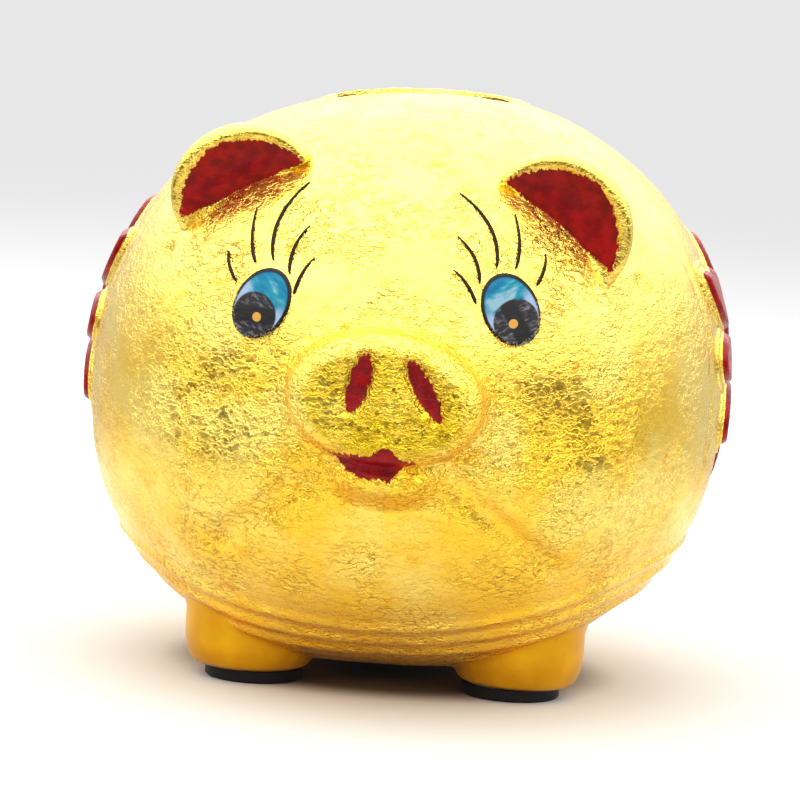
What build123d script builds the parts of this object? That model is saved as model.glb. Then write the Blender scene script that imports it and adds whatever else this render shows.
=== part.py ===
from build123d import *
import os
from math import cos, radians, sin

# A pig money box of slip-cast ceramic, covered in gold leaf, on four stub legs with rubber feet.
# The pig looks along -Y; +X is on the right of someone facing it; +Z is up. The origin is on the
# floor, under the middle of the whole object. All sizes are in millimetres.

# ------------------------------------------------------------------ driving dimensions
# Body: a plump barrel. Its side outline is a superellipse, its plan an ellipse.
body_half_width = 73.0
body_half_length = 78.0
body_half_height = 65.5
body_roundness = 2.2          # superellipse exponent: 2 is an ellipse, larger is squarer
belly_clearance = 3.5         # floor to the lowest point of the belly
wall = 4.5                    # thickness of the cast wall

# Coin slot across the crown, made for coins up to about 30 mm
slot_length = 40.0
slot_width = 4.8
slot_y = -3.0

# Emptying hole under the belly, with a flat seat for the stopper's flange
hole_radius = 14.0
seat_radius = 18.5            # across the width; the seat follows the body's stretch
seat_height = 5.6             # floor to the flat seat

# Three raised ridges round the lower belly: height above the floor and bead radius
ridge_heights = (10.8, 14.2, 18.0)
ridge_radius = 0.9

# Rubber stopper
stopper_clearance = 0.05      # between the neck and the hole, on the radius
flange_radius = 17.0
flange_thickness = 2.0
neck_length = 11.0
neck_wall = 2.6
grip_bar_width = 5.0
grip_pocket_radius = 10.0
grip_pocket_depth = 1.2

# Legs, and the rubber feet under them
leg_x = 30.5
leg_y = 26.0
leg_radius = 15.2
leg_foot_radius = 11.8        # flat end that the rubber foot sticks to
leg_round_height = 8.0        # height of the rounding above the flat end
leg_blank_height = 32.0
pad_x = 29.5
pad_radius = 11.2
pad_thickness = 2.8
pad_bevel = 0.5
adhesive_radius = 10.2
adhesive_thickness = 0.2

# Snout: a wide oval disc with a lower lip, two slanted nostrils and a mouth
snout_half_width = 21.5
snout_half_height = 14.5
snout_z = 73.0
snout_front_y = -86.0
snout_edge_round = 4.5
nostril_x = 7.0
nostril_z = 75.5
nostril_half_width = 2.6
nostril_half_height = 6.5
nostril_lean = 18.0           # degrees, lower ends outwards
nostril_depth = 1.5
mouth_half_width = 10.0
mouth_z = 61.5
mouth_depth = 1.2
lip_half_width = 11.0
lip_half_height = 5.0
lip_z = 57.5
lip_front_y = -83.0

# Ears: cupped flaps, open to the front, standing on a line from an inner to an outer root
ear_inner_root = Vector(23.6, -49.0, 119.0)
ear_outer_root = Vector(46.8, -48.0, 103.3)
ear_lean = -0.28              # forward part of the direction that the flap stands in
ear_height = 18.0
ear_depth = 13.0
ear_rim = 4.4
ear_front_cut = 4.0           # the rim lies this far in front of the root line

# Curly tail: one open ring, tilted so that its root sinks into the rump
tail_radius = 3.4
tail_ring_radius = 6.6
tail_arc = 300.0              # degrees of the ring
tail_tilt = 22.0
tail_z = 84.0
tail_y = 80.13

# Flower relief on each flank
flower_y = 15.0
flower_z = 78.0
flower_proud = 2.2
petal_count = 8
petal_half_length = 11.5
petal_half_width = 7.4
petal_reach = 16.5            # flower centre to petal centre
heart_radius = 8.0
leaf_half_length = 12.0
leaf_half_width = 5.0
leaf_reach = 24.0
leaf_angles = (35.0, 145.0, 270.0)

# Eyes: thin printed films, lashes included
decal_thickness = 0.2
eye_half_width = 6.4
eye_half_height = 8.7
eye_lean = 20.0               # degrees, tops towards each other
left_eye = (-28.4, 91.6)      # centre, as X and Z
right_eye = (26.5, 95.0)      # the films were laid by hand, this one a little higher
lash_width = 1.0
# Each lash, outermost first: start angle round the eye, length, lean (degrees and millimetres;
# angles are from straight up, positive towards the nose)
lashes = ((-54.0, 7.0, -17.0), (-8.0, 12.0, -1.0), (22.0, 18.5, 29.0), (52.0, 12.0, 22.0),
          (80.0, 9.2, 30.0))

body_z = belly_clearance + body_half_height


# ------------------------------------------------------------------ body
def body_outline(grow):
    """Points of the body's side outline, from the bottom pole to the top one, as (radius, z)."""
    step = 15
    power = 2.0 / body_roundness
    points = []
    for angle in range(-90, 91, step):
        radius = (body_half_width + grow) * abs(cos(radians(angle))) ** power
        height = (body_half_height + grow) * abs(sin(radians(angle))) ** power
        points.append((0.0 if abs(angle) == 90 else radius, height if angle > 0 else -height))
    return points


def body_half(grow=0.0):
    """The flat half-outline that turns into the body, grown by the same amount each way."""
    points = body_outline(grow)
    side = Spline(*points, tangents=[(1, 0), (-1, 0)])
    return make_face([side, Line(points[-1], points[0])])


def turned_body(half, grow=0.0):
    """A half-outline turned about the vertical, and stretched front to back."""
    stretch = (body_half_length + grow) / (body_half_width + grow)
    return Pos(0, 0, body_z) * scale(revolve(Plane.YZ * half, axis=Axis.Z), by=(1, stretch, 1))


def body_form(grow=0.0):
    """The body's solid outer form."""
    return turned_body(body_half(grow), grow)


def ridge_bead(height):
    """The flat section of one ridge, centred on the body's outline at a height above the floor."""
    level = abs(height - body_z) / body_half_height
    radius = body_half_width * (1.0 - level ** body_roundness) ** (1.0 / body_roundness)
    return Pos(radius, height - body_z) * Circle(ridge_radius)


def body_shell():
    """The hollow body with its ridges, coin slot, flat stopper seat and emptying hole."""
    section = body_half()
    for height in ridge_heights:
        section += ridge_bead(height)
    section -= body_half(-wall)
    below_seat = seat_height - body_z - wall
    section -= Pos(0, below_seat) * Rectangle(2 * seat_radius, 2 * wall)
    section -= Pos(0, -body_half_height) * Rectangle(hole_radius, 6 * wall)
    shell = turned_body(section)
    shell -= Pos(0, slot_y, body_z + body_half_height) * Box(slot_length, slot_width, 4 * wall)
    return shell - Cylinder(hole_radius, 6 * wall)


# ------------------------------------------------------------------ stopper
def rubber_stopper():
    """A flanged rubber plug: a hollow neck in the hole, and a grip bar across the flange."""
    bottom = seat_height - flange_thickness
    upward = (Align.CENTER, Align.CENTER, Align.MIN)
    flange = Pos(0, 0, bottom) * Cylinder(flange_radius, flange_thickness, align=upward)
    flange = fillet(flange.edges().group_by(Axis.Z)[0], 0.8)
    neck_radius = hole_radius - stopper_clearance
    plug = flange + Pos(0, 0, seat_height) * Cylinder(neck_radius, neck_length, align=upward)
    plug = chamfer(plug.edges().group_by(Axis.Z)[-1], 1.0)
    hollow = Cylinder(neck_radius - neck_wall, neck_length, align=upward)
    plug -= Pos(0, 0, seat_height + neck_wall) * hollow
    pocket = Cylinder(grip_pocket_radius, grip_pocket_depth, align=upward)
    pocket -= Box(2 * grip_pocket_radius, grip_bar_width, 2 * grip_pocket_depth)
    return plug - Pos(0, 0, bottom) * pocket


# ------------------------------------------------------------------ legs and feet
def leg(side, end, form, ridges):
    """One stub leg: a rounded column, cut to sit under the belly and its ridges."""
    bottom = pad_thickness + adhesive_thickness
    shoulder = bottom + leg_round_height
    foot = Line((0, bottom), (leg_foot_radius, bottom))
    rounding = Spline(foot @ 1, (leg_radius, shoulder), tangents=[(1, 0.35), (0, 1)])
    wall_line = Line(rounding @ 1, (leg_radius, leg_blank_height))
    top = Line(wall_line @ 1, (0, leg_blank_height))
    half = make_face([foot, rounding, wall_line, top, Line(top @ 1, foot @ 0)])
    blank = revolve(Plane.XZ * half, axis=Axis.Z)
    column = Pos(side * leg_x, end * leg_y, 0) * blank - form
    for ridge in ridges:
        column -= ridge
    return column


def foot_pad(side, end):
    """One stick-on rubber foot, bevelled at the floor."""
    pad = Cylinder(pad_radius, pad_thickness, align=(Align.CENTER, Align.CENTER, Align.MIN))
    pad = chamfer(pad.edges().group_by(Axis.Z)[0], pad_bevel)
    return Pos(side * pad_x, end * leg_y, 0) * pad


def pad_adhesive(side, end):
    """The disc of double-sided film that holds a rubber foot to its leg."""
    disc = Cylinder(adhesive_radius, adhesive_thickness, align=(Align.CENTER, Align.CENTER, Align.MIN))
    return Pos(side * pad_x, end * leg_y, pad_thickness) * disc


# ------------------------------------------------------------------ head
def snout(form):
    """The oval snout with its nostrils, mouth and lower lip."""
    face = Plane(origin=(0, snout_front_y, snout_z), x_dir=(1, 0, 0), z_dir=(0, -1, 0))
    disc = extrude(face * Ellipse(snout_half_width, snout_half_height), amount=-2 * wall - 14)
    disc = fillet(disc.edges().group_by(Axis.Y)[0], snout_edge_round)
    lip_half_depth = lip_half_height + 3
    lip = scale(Sphere(1), by=(lip_half_width, lip_half_depth, lip_half_height))
    disc += Pos(0, lip_front_y + lip_half_depth, lip_z) * lip
    for side in (-1, 1):
        hole = Rot(0, 0, side * nostril_lean) * Ellipse(nostril_half_width, nostril_half_height)
        hole = face * Pos(side * nostril_x, nostril_z - snout_z) * hole
        disc -= extrude(hole, amount=-nostril_depth)
    upper = ThreePointArc((-mouth_half_width, 1), (0, 3), (mouth_half_width, 1))
    lower = ThreePointArc((mouth_half_width, 1), (0, -2.5), (-mouth_half_width, 1))
    mouth = face * Pos(0, mouth_z - snout_z) * make_face([upper, lower])
    disc -= extrude(mouth, amount=-mouth_depth - snout_edge_round)
    return disc - form


def right_ear(form):
    """A cupped flap: part of an egg-shaped shell that stands on the head, open to the front."""
    along = (ear_outer_root - ear_inner_root).normalized()
    middle = (ear_inner_root + ear_outer_root) * 0.5
    half_length = (ear_outer_root - ear_inner_root).length / 2 + ear_rim
    upright = Vector(-along.Z, 0, along.X).normalized() + Vector(0, ear_lean, 0)
    upright = (upright - along * upright.dot(along)).normalized()
    seat = Plane(origin=middle, x_dir=along, z_dir=upright)
    outer = scale(Sphere(1), by=(half_length, ear_depth, ear_height))
    cup = scale(Sphere(1), by=(half_length - ear_rim, ear_depth - ear_rim, ear_height - ear_rim))
    front = Pos(0, -ear_front_cut - ear_depth, 0) * Box(3 * half_length, 2 * ear_depth, 3 * ear_height)
    flap = outer - front - Pos(0, -ear_front_cut, 0) * cup
    pieces = (seat * flap - form).solids()
    return pieces.sort_by(SortBy.VOLUME)[-1]


# ------------------------------------------------------------------ tail
def tail(form):
    """The curly tail: a round open ring with a ball end, lying against the rump."""
    section = Pos(tail_ring_radius, 0) * Circle(tail_radius)
    ring = revolve(Plane.XY * section, axis=Axis.Y, revolution_arc=tail_arc)
    tip = Rot(0, tail_arc, 0) * Pos(tail_ring_radius, 0, 0) * Sphere(tail_radius)
    curl = Pos(0, tail_y, tail_z) * Rot(tail_tilt, 0, 0) * (ring + tip)
    return (curl - form).solids().sort_by(SortBy.VOLUME)[-1]


# ------------------------------------------------------------------ flank flowers
def flower_plan():
    """The flower's flat outline: a ring of round petals about a heart, and three leaves."""
    plan = Circle(heart_radius)
    for index in range(petal_count):
        petal = Pos(petal_reach, 0) * Ellipse(petal_half_length, petal_half_width)
        plan += Rot(0, 0, index * 360 / petal_count) * petal
    for angle in leaf_angles:
        upper = ThreePointArc((-leaf_half_length, 0), (0, leaf_half_width), (leaf_half_length, 0))
        lower = ThreePointArc((leaf_half_length, 0), (0, -leaf_half_width), (-leaf_half_length, 0))
        plan += Rot(0, 0, angle) * Pos(leaf_reach, 0) * make_face([upper, lower])
    return plan


def flank_flower(side, form, grown_form):
    """The raised flower on one flank, following the body's curve."""
    centre = (side * body_half_width / 2, flower_y, flower_z)
    view = Plane(origin=centre, x_dir=(0, side, 0), z_dir=(side, 0, 0))
    prism = extrude(view * flower_plan(), amount=body_half_width)
    return (prism & grown_form) - form


# ------------------------------------------------------------------ eye films
def lash_shape(start, length, lean):
    """One lash: a tapering, slightly bowed stroke that starts on the eye's edge."""
    root_x = eye_half_width * sin(radians(start))
    root_y = eye_half_height * cos(radians(start))
    bow = length * 0.12 * (1 if lean > 0 else -1)
    root = lash_width / 2
    left = ThreePointArc((-root, 0), (-root * 0.8 - bow, length / 2), (0, length))
    right = ThreePointArc((0, length), (root * 0.8 - bow, length / 2), (root, 0))
    stroke = make_face([left, right, Line((root, 0), (-root, 0))])
    return Pos(root_x, root_y) * Rot(0, 0, -lean) * Pos(0, -0.5) * stroke


def eye_decal(side, centre, form, film_form):
    """One printed film: the oval eye and its five lashes."""
    oval = Rot(0, 0, -eye_lean) * Ellipse(eye_half_width, eye_half_height)
    drawing = oval
    for start, length, lean in lashes:
        drawing += lash_shape(start, length, lean)
    if side > 0:
        drawing = mirror(drawing, Plane.YZ)
    sheet = Plane(origin=(centre[0], -body_half_length, centre[1]), x_dir=(1, 0, 0), z_dir=(0, -1, 0))
    prism = extrude(sheet * drawing, amount=-body_half_length)
    return (prism & film_form) - form


# ------------------------------------------------------------------ all nodes
def build_nodes():
    """Every separate piece of the money box, by name."""
    form = body_form()
    grown_form = body_form(flower_proud)
    film_form = body_form(decal_thickness)
    ridges = [turned_body(ridge_bead(height)) for height in ridge_heights]
    ear = right_ear(form)
    nodes = {
        "body_shell": body_shell(),
        "right_ear": ear,
        "left_ear": mirror(ear, Plane.YZ),
        "snout": snout(form),
        "tail": tail(form),
        "rubber_stopper": rubber_stopper(),
        "left_eye_decal": eye_decal(-1, left_eye, form, film_form),
        "right_eye_decal": eye_decal(1, right_eye, form, film_form),
        "left_flank_flower": flank_flower(-1, form, grown_form),
        "right_flank_flower": flank_flower(1, form, grown_form),
    }
    for side_name, side in (("left", -1), ("right", 1)):
        for end_name, end in (("front", -1), ("rear", 1)):
            nodes[f"{end_name}_{side_name}_leg"] = leg(side, end, form, ridges)
            nodes[f"{end_name}_{side_name}_foot_pad"] = foot_pad(side, end)
            nodes[f"{end_name}_{side_name}_pad_adhesive"] = pad_adhesive(side, end)
    return nodes


os.makedirs("parts", exist_ok=True)
for name, shape in build_nodes().items():
    export_step(shape, f"parts/{name}.step")
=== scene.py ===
import math

import bpy
import numpy as np
from mathutils import Matrix, Vector, noise


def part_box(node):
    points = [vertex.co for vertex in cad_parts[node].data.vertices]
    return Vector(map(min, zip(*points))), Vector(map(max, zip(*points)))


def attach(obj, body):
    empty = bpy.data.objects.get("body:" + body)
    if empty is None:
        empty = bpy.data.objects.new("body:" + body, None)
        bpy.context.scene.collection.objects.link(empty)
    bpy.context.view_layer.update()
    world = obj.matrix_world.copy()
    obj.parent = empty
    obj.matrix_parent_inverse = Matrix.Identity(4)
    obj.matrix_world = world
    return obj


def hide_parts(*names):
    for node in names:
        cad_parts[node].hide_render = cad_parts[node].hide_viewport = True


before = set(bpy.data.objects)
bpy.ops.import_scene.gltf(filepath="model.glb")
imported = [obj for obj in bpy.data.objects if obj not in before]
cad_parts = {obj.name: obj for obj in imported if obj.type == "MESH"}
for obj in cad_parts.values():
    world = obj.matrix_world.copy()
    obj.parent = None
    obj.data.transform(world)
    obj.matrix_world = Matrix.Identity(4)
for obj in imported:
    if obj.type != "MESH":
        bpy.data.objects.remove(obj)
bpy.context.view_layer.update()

# The looks of a gold-leafed ceramic pig money box, built around its CAD frame.
# The pig looks along -Y and +X is on the viewer's right. Shapes are worked out in millimetres
# and turned into metres when a mesh is made.
MM = 0.001


def box_mm(node):
    """A CAD node's lowest and highest corners, in millimetres."""
    low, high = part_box(node)
    return np.array(low) / MM, np.array(high) / MM


# -------- driving dimensions
BODY_LOW, BODY_HIGH = box_mm("body_shell")
HALF_WIDTH, HALF_LENGTH = ((BODY_HIGH - BODY_LOW) / 2)[:2]
BELLY_CLEARANCE = 3.5                    # floor to the lowest point of the uncut belly
HALF_HEIGHT = (BODY_HIGH[2] - BELLY_CLEARANCE) / 2
CENTRE = np.array([0.0, 0.0, BELLY_CLEARANCE + HALF_HEIGHT])
ROUNDNESS = 2.2                          # superellipse exponent of the body's side outline
WALL = 4.5                               # thickness of the fired clay

SNOUT_LOW, SNOUT_HIGH = box_mm("snout")
SNOUT_FRONT = SNOUT_LOW[1]
SNOUT_HALF_WIDTH = (SNOUT_HIGH[0] - SNOUT_LOW[0]) / 2
SNOUT_HALF_HEIGHT = 14.5
SNOUT_Z = SNOUT_HIGH[2] - SNOUT_HALF_HEIGHT

EAR_LOW, EAR_HIGH = box_mm("right_ear")
LEG_LOW, LEG_HIGH = box_mm("front_right_leg")
REAR_LEG_LOW, REAR_LEG_HIGH = box_mm("rear_right_leg")
FLOWER_LOW, FLOWER_HIGH = box_mm("right_flank_flower")
FLOWER_Y = (FLOWER_LOW[1] + FLOWER_HIGH[1]) / 2
FLOWER_REACH = 28.0                      # from the flower's heart to its petals' tips
FLOWER_Z = FLOWER_HIGH[2] - FLOWER_REACH
TAIL_LOW, TAIL_HIGH = box_mm("tail")
STOPPER_UNDERSIDE = box_mm("rubber_stopper")[0][2]


# -------- shaping tools
def soft_min(first, second, blend):
    """The smaller of two distances, with a rounded valley of the given width."""
    overlap = np.maximum(blend - np.abs(first - second), 0.0) / blend
    return np.minimum(first, second) - overlap * overlap * blend / 4


def soft_max(first, second, blend):
    """The larger of two distances, with a rounded edge of the given width."""
    return -soft_min(-first, -second, blend)


def smooth_step(low, high, value):
    """0 below low, 1 above high, and smooth between."""
    part = np.clip((value - low) / (high - low), 0.0, 1.0)
    return part * part * (3 - 2 * part)


def bell(distance, spread):
    """1 at no distance, falling smoothly to nothing beyond about twice the spread."""
    return np.exp(-(distance / spread) ** 2)


def zipped(*parts):
    """Arrays of one shape put together number by number, along a new last axis."""
    return np.stack(parts, -1)


def ellipsoid(offset, radii):
    """Signed distance, close to true near the surface, from an ellipsoid at the origin."""
    radii = np.array(radii)
    scaled = offset / radii
    reach = np.linalg.norm(scaled, axis=-1)
    slope = np.linalg.norm(scaled / radii, axis=-1) + 1e-9
    return reach * (reach - 1.0) / slope


def capsule(points, start, end, start_radius, end_radius):
    """Signed distance from a rod with round ends, tapering from one radius to another."""
    along = end - start
    part = np.clip((points - start) @ along / (along @ along), 0.0, 1.0)
    gap = np.linalg.norm(points - start - part[..., None] * along, axis=-1)
    return gap - (start_radius + (end_radius - start_radius) * part)


def turned(first, second, degrees):
    """Two coordinates seen in axes turned anticlockwise by an angle."""
    angle = math.radians(degrees)
    return (first * math.cos(angle) + second * math.sin(angle),
            second * math.cos(angle) - first * math.sin(angle))


def lumps(points, size, seed):
    """Smooth noise from -1 to 1 at each point, with features of about the given size."""
    shift = Vector((seed * 17.3, seed * 5.1, seed * 9.7))
    values = [noise.noise(Vector(point) / size + shift) for point in points.reshape(-1, 3)]
    return np.array(values).reshape(points.shape[:-1])


# -------- the body as a field
def plain_body(points):
    """Signed distance from the body's plain form; true near its surface."""
    x, y, z = np.moveaxis(points - CENTRE, -1, 0)
    plan = (x / HALF_WIDTH) ** 2 + (y / HALF_LENGTH) ** 2 + 1e-9
    rise = np.abs(z / HALF_HEIGHT) + 1e-9
    level = (plan ** (ROUNDNESS / 2) + rise ** ROUNDNESS) ** (1 / ROUNDNESS)
    pull = plan ** (ROUNDNESS / 2 - 1)
    slope = np.sqrt((pull * x / HALF_WIDTH ** 2) ** 2 + (pull * y / HALF_LENGTH ** 2) ** 2
                    + (rise ** (ROUNDNESS - 1) / HALF_HEIGHT) ** 2)
    return (level - 1) * level ** (ROUNDNESS - 1) / slope


# Swellings of the plain body, below zero for hollows: height, centre and spread
PAIRED_SWELLINGS = ((1.6, (37.0, -60.0, 53.0), 18.0),      # cheeks
                    (-1.2, (37.0, -65.0, 67.0), 9.5),      # dimples beside the snout
                    (3.4, (30.0, -38.0, 12.0), 19.0))      # over the front legs
SINGLE_SWELLINGS = ((1.6, (0.0, -58.0, 22.0), 16.0),       # under the chin
                    (1.9, (-60.0, -12.0, 34.0), 24.0),     # low on the left flank
                    (1.5, (63.0, -10.0, 44.0), 20.0),      # low on the right flank
                    (-1.6, (-62.0, -5.0, 97.0), 24.0),     # high on the left flank
                    (0.9, (24.0, -5.0, 131.0), 24.0),      # right of the crown
                    (-0.8, (-30.0, -5.0, 129.0), 24.0))    # left of the crown
# Creases on both sides of the face: depth, top end, lower end and spread
CREASES = ((2.0, (17.0, -76.0, 53.5), (39.0, -58.0, 34.0), 2.5),     # jowls
           (1.2, (52.0, -43.0, 98.0), (60.0, -36.0, 76.0), 1.8))     # below the ears
RIDGE_HEIGHTS = (10.8, 14.2, 18.0)       # ridges round the lower belly
RIDGE_PROUD, RIDGE_SPREAD, RIDGE_STEP = 0.75, 0.9, 0.3
SLOT_Y, SLOT_HALF_LENGTH, SLOT_HALF_WIDTH = -3.0, 20.0, 2.2
LIP_FRONT, LIP_BACK, LIP_SPREAD = 0.1, 0.85, 3.2


def flower_groove(x, y, z):
    """The depth of the shallow groove in front of each flank's flower."""
    bow = 0.004 * (z - FLOWER_Z) ** 2
    groove = bell(y - FLOWER_LOW[1] + 4.5 + bow, 1.4)
    return 0.5 * groove * smooth_step(52.0, 60.0, np.abs(x)) * smooth_step(38.0, 60.0, z)


def belly_ridges(x, z):
    """The height of the belly's ridges. They rise towards the flanks, each on a small step."""
    level = z - 0.0035 * x ** 2 - 0.03 * x
    height = 0.0
    for ridge in RIDGE_HEIGHTS:
        height = height + RIDGE_PROUD * bell(level - ridge, RIDGE_SPREAD)
        height = height + RIDGE_STEP * smooth_step(ridge + 0.4, ridge - 0.8, level)
    return height


def slot_lip(x, y, z):
    """The height of the raised lip round the slot, which is higher behind the slot than in front."""
    gap = np.hypot(np.maximum(np.abs(x) - SLOT_HALF_LENGTH, 0.0), y - SLOT_Y) - SLOT_HALF_WIDTH
    proud = LIP_FRONT + (LIP_BACK - LIP_FRONT) * smooth_step(-1.5, 1.5, y - SLOT_Y)
    return proud * bell(gap, LIP_SPREAD) * (z > CENTRE[2])


def body_relief(points):
    """How far the modelled features stand proud of the plain body."""
    mirrored = points.copy()
    mirrored[..., 0] = np.abs(mirrored[..., 0])
    x, y, z = np.moveaxis(points, -1, 0)
    relief = np.zeros_like(x)
    for seen, swellings in ((mirrored, PAIRED_SWELLINGS), (points, SINGLE_SWELLINGS)):
        for height, centre, spread in swellings:
            relief += height * bell(np.linalg.norm(seen - np.array(centre), axis=-1), spread)
    for depth, top, end, spread in CREASES:
        relief -= depth * bell(capsule(mirrored, np.array(top), np.array(end), 0.0, 0.0), spread)

    return relief - flower_groove(x, y, z) + belly_ridges(x, z) + slot_lip(x, y, z)


def body_field(points):
    """Signed distance from the modelled body, without its crinkles."""
    return plain_body(points) - body_relief(points)


def field_normal(field, points, step=0.05):
    """The outward direction of a field at each point."""
    normal = np.empty_like(points)
    for axis in range(3):
        shift = np.zeros(3)
        shift[axis] = step
        normal[..., axis] = field(points + shift) - field(points - shift)
    return normal / (np.linalg.norm(normal, axis=-1, keepdims=True) + 1e-12)


# Size and height of the leaf's folds, its finer crinkles and its swellings, and of the clay's unevenness
FOLD_SIZE, FOLD_HEIGHT = 1.9, 0.09
FINE_SIZE, FINE_HEIGHT = 1.2, 0.06
SWELL_SIZE, SWELL_HEIGHT = 7.0, 0.10
CLAY_SIZE, CLAY_HEIGHT = 24.0, 0.3


def clay_swell(points):
    """The slow unevenness of hand-finished clay."""
    return CLAY_HEIGHT * lumps(points, CLAY_SIZE, 3)


def crinkled(points, normals, strength=1.0):
    """Points moved along their normals, as foil crinkled over uneven clay. The folds run level."""
    drawn_out = points * np.array([0.55, 0.55, 1.0])
    folds = FOLD_HEIGHT * (1 - 2.6 * np.abs(lumps(drawn_out, FOLD_SIZE, 1)))
    fine = FINE_HEIGHT * lumps(drawn_out, FINE_SIZE, 2)
    swell = SWELL_HEIGHT * lumps(points, SWELL_SIZE, 4)
    height = strength * (folds + fine + swell) + clay_swell(points)
    return points + normals * height[:, None]


# -------- mesh tools
def make_piece(name, points, faces, attributes=None):
    """A smooth-shaded mesh object from points in millimetres."""
    mesh = bpy.data.meshes.new(name)
    mesh.from_pydata((points * MM).tolist(), [], faces if isinstance(faces, list) else faces.tolist())
    for key, values in (attributes or {}).items():
        add_attribute(mesh, key, values)
    mesh.validate()
    mesh.update()
    mesh.shade_smooth()
    return add_object(name, mesh)


def add_object(name, data):
    """A new object in the scene."""
    thing = bpy.data.objects.new(name, data)
    bpy.context.scene.collection.objects.link(thing)
    return thing


def add_attribute(mesh, key, values):
    """A number or a vector at every vertex, for the materials to read."""
    values = np.asarray(values, float)
    kind, field_name = ("FLOAT", "value") if values.ndim == 1 else ("FLOAT_VECTOR", "vector")
    layer = mesh.attributes.new(key, kind, "POINT")
    layer.data.foreach_set(field_name, values.ravel())


def mesh_points(mesh):
    """A mesh's vertices in millimetres."""
    flat = np.empty(len(mesh.vertices) * 3)
    mesh.vertices.foreach_get("co", flat)
    return flat.reshape(-1, 3) / MM


def ball_grid(count):
    """Directions and quads of a cube's faces blown up into a ball, count squares to an edge."""
    ticks = np.tan(np.linspace(-math.pi / 4, math.pi / 4, count + 1))
    across, up = np.meshgrid(ticks, ticks, indexing="ij")
    ahead = np.ones_like(across)
    sheets = []
    for axis in range(3):
        for side in (-1.0, 1.0):
            sheet = zipped(across * side, up, ahead * side)
            sheets.append(np.roll(sheet, axis, axis=-1).reshape(-1, 3))
    corner = np.arange((count + 1) ** 2).reshape(count + 1, count + 1)
    quads = zipped(corner[:-1, :-1], corner[1:, :-1], corner[1:, 1:], corner[:-1, 1:])
    quads = np.concatenate([quads.reshape(-1, 4) + k * (count + 1) ** 2 for k in range(6)])
    points = np.concatenate(sheets)
    points /= np.linalg.norm(points, axis=1, keepdims=True)
    _, first, same = np.unique(np.round(points, 7), axis=0, return_index=True, return_inverse=True)
    return points[first], same.ravel()[quads]


def cast_on(field, directions, start, rounds=9):
    """Points where rays from the body's centre meet a field's surface."""
    reach = np.full(len(directions), float(start))
    for _ in range(rounds):
        reach -= field(CENTRE + directions * reach[:, None])
    return CENTRE + directions * reach[:, None]


def surface_net(field, low, high, cell):
    """A closed quad mesh of the surface where a field is zero, inside a box."""
    counts = np.ceil((np.array(high) - low) / cell).astype(int) + 1
    ticks = [low[axis] + cell * np.arange(counts[axis]) for axis in range(3)]
    grid = zipped(*np.meshgrid(*ticks, indexing="ij"))
    value = field(grid)
    total = np.zeros(tuple(counts - 1) + (3,))
    hits = np.zeros(tuple(counts - 1))
    crossings = []
    for axis in range(3):
        here = [slice(None)] * 3
        there = [slice(None)] * 3
        here[axis], there[axis] = slice(None, -1), slice(1, None)
        near, far = value[tuple(here)], value[tuple(there)]
        crossing = (near < 0) != (far < 0)
        part = np.where(crossing, near / np.where(crossing, near - far, 1.0), 0.0)
        place = grid[tuple(here)].copy()
        place[..., axis] += part * cell
        crossings.append((crossing, near < 0))
        for first in (0, 1):
            for second in (0, 1):
                window = edge_window(axis, first, second, counts)
                total += np.where(crossing[window][..., None], place[window], 0.0)
                hits += crossing[window]
    used = hits > 0
    number = np.full(hits.shape, -1)
    number[used] = np.arange(used.sum())
    points = total[used] / hits[used][:, None]
    faces = np.concatenate([net_faces(axis, *crossings[axis], number) for axis in range(3)])
    # Three short steps carry every point onto the surface itself
    for _ in range(3):
        normal = field_normal(field, points)
        points = points - normal * np.clip(field(points), -cell, cell)[:, None]
    return points, faces


def edge_window(axis, first, second, counts):
    """The grid edges along an axis that lie on one of the four such edges of every cell."""
    others = [a for a in range(3) if a != axis]
    window = [slice(None)] * 3
    for other, shift in zip(others, (first, second)):
        window[other] = slice(shift, counts[other] - 1 + shift)
    return tuple(window)


def net_faces(axis, crossing, starts_inside, number):
    """A quad round each crossed grid edge, joining the four cells about it."""
    first, second = [a for a in range(3) if a != axis]
    inner = [slice(None)] * 3
    inner[first] = inner[second] = slice(1, -1)
    spots = np.argwhere(crossing[tuple(inner)])
    outward = starts_inside[tuple(inner)][tuple(spots.T)]
    spots[:, first] += 1
    spots[:, second] += 1
    corners = []
    for step_first, step_second in ((1, 1), (0, 1), (0, 0), (1, 0)):
        cells = spots.copy()
        cells[:, first] -= step_first
        cells[:, second] -= step_second
        corners.append(number[tuple(cells.T)])
    quads = zipped(*corners)
    flip = outward if axis == 1 else ~outward
    quads[flip] = quads[flip][:, ::-1]
    return quads


def ring_faces(rings, count):
    """Quads that join each closed ring of points to the next one."""
    faces = []
    for start in range(0, (rings - 1) * count, count):
        for k in range(count):
            after = (k + 1) % count
            faces.append((start + k, start + after, start + count + after, start + count + k))
    return faces


def luted_piece(name, part_field, low, high, cell, blend, crinkle, attributes=None):
    """A piece joined to the body: its base flares into the body's surface and ends just under it."""
    sunk, depth, flare, edge = 0.3, 2.2, blend + 0.5, 0.4

    def field(points):
        part, body = part_field(points), body_field(points)
        joined = soft_min(part, body + sunk, blend)
        joined = soft_max(joined, part - flare, edge)
        return soft_max(joined, -body - depth, edge)

    points, faces = surface_net(field, low, high, cell)
    values = {key: read(points) for key, read in (attributes or {}).items()}
    points = crinkled(points, field_normal(field, points), crinkle)
    return make_piece(name, points, faces, values)


# -------- body
def turned_solid(name, profile, angles, ends=0.0, middle_y=0.0):
    """A closed solid through level rings of (radius, height); two ends draw it out along X."""
    rings = []
    for radius, height in profile:
        rings.append(zipped(ends + radius * np.cos(angles), middle_y + radius * np.sin(angles),
                             np.full(len(angles), height)))
    count = len(angles)
    points = np.concatenate(rings)
    caps = [tuple(reversed(range(count))), tuple(range(len(points) - count, len(points)))]
    return make_piece(name, points, ring_faces(len(rings), count) + caps)


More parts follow.
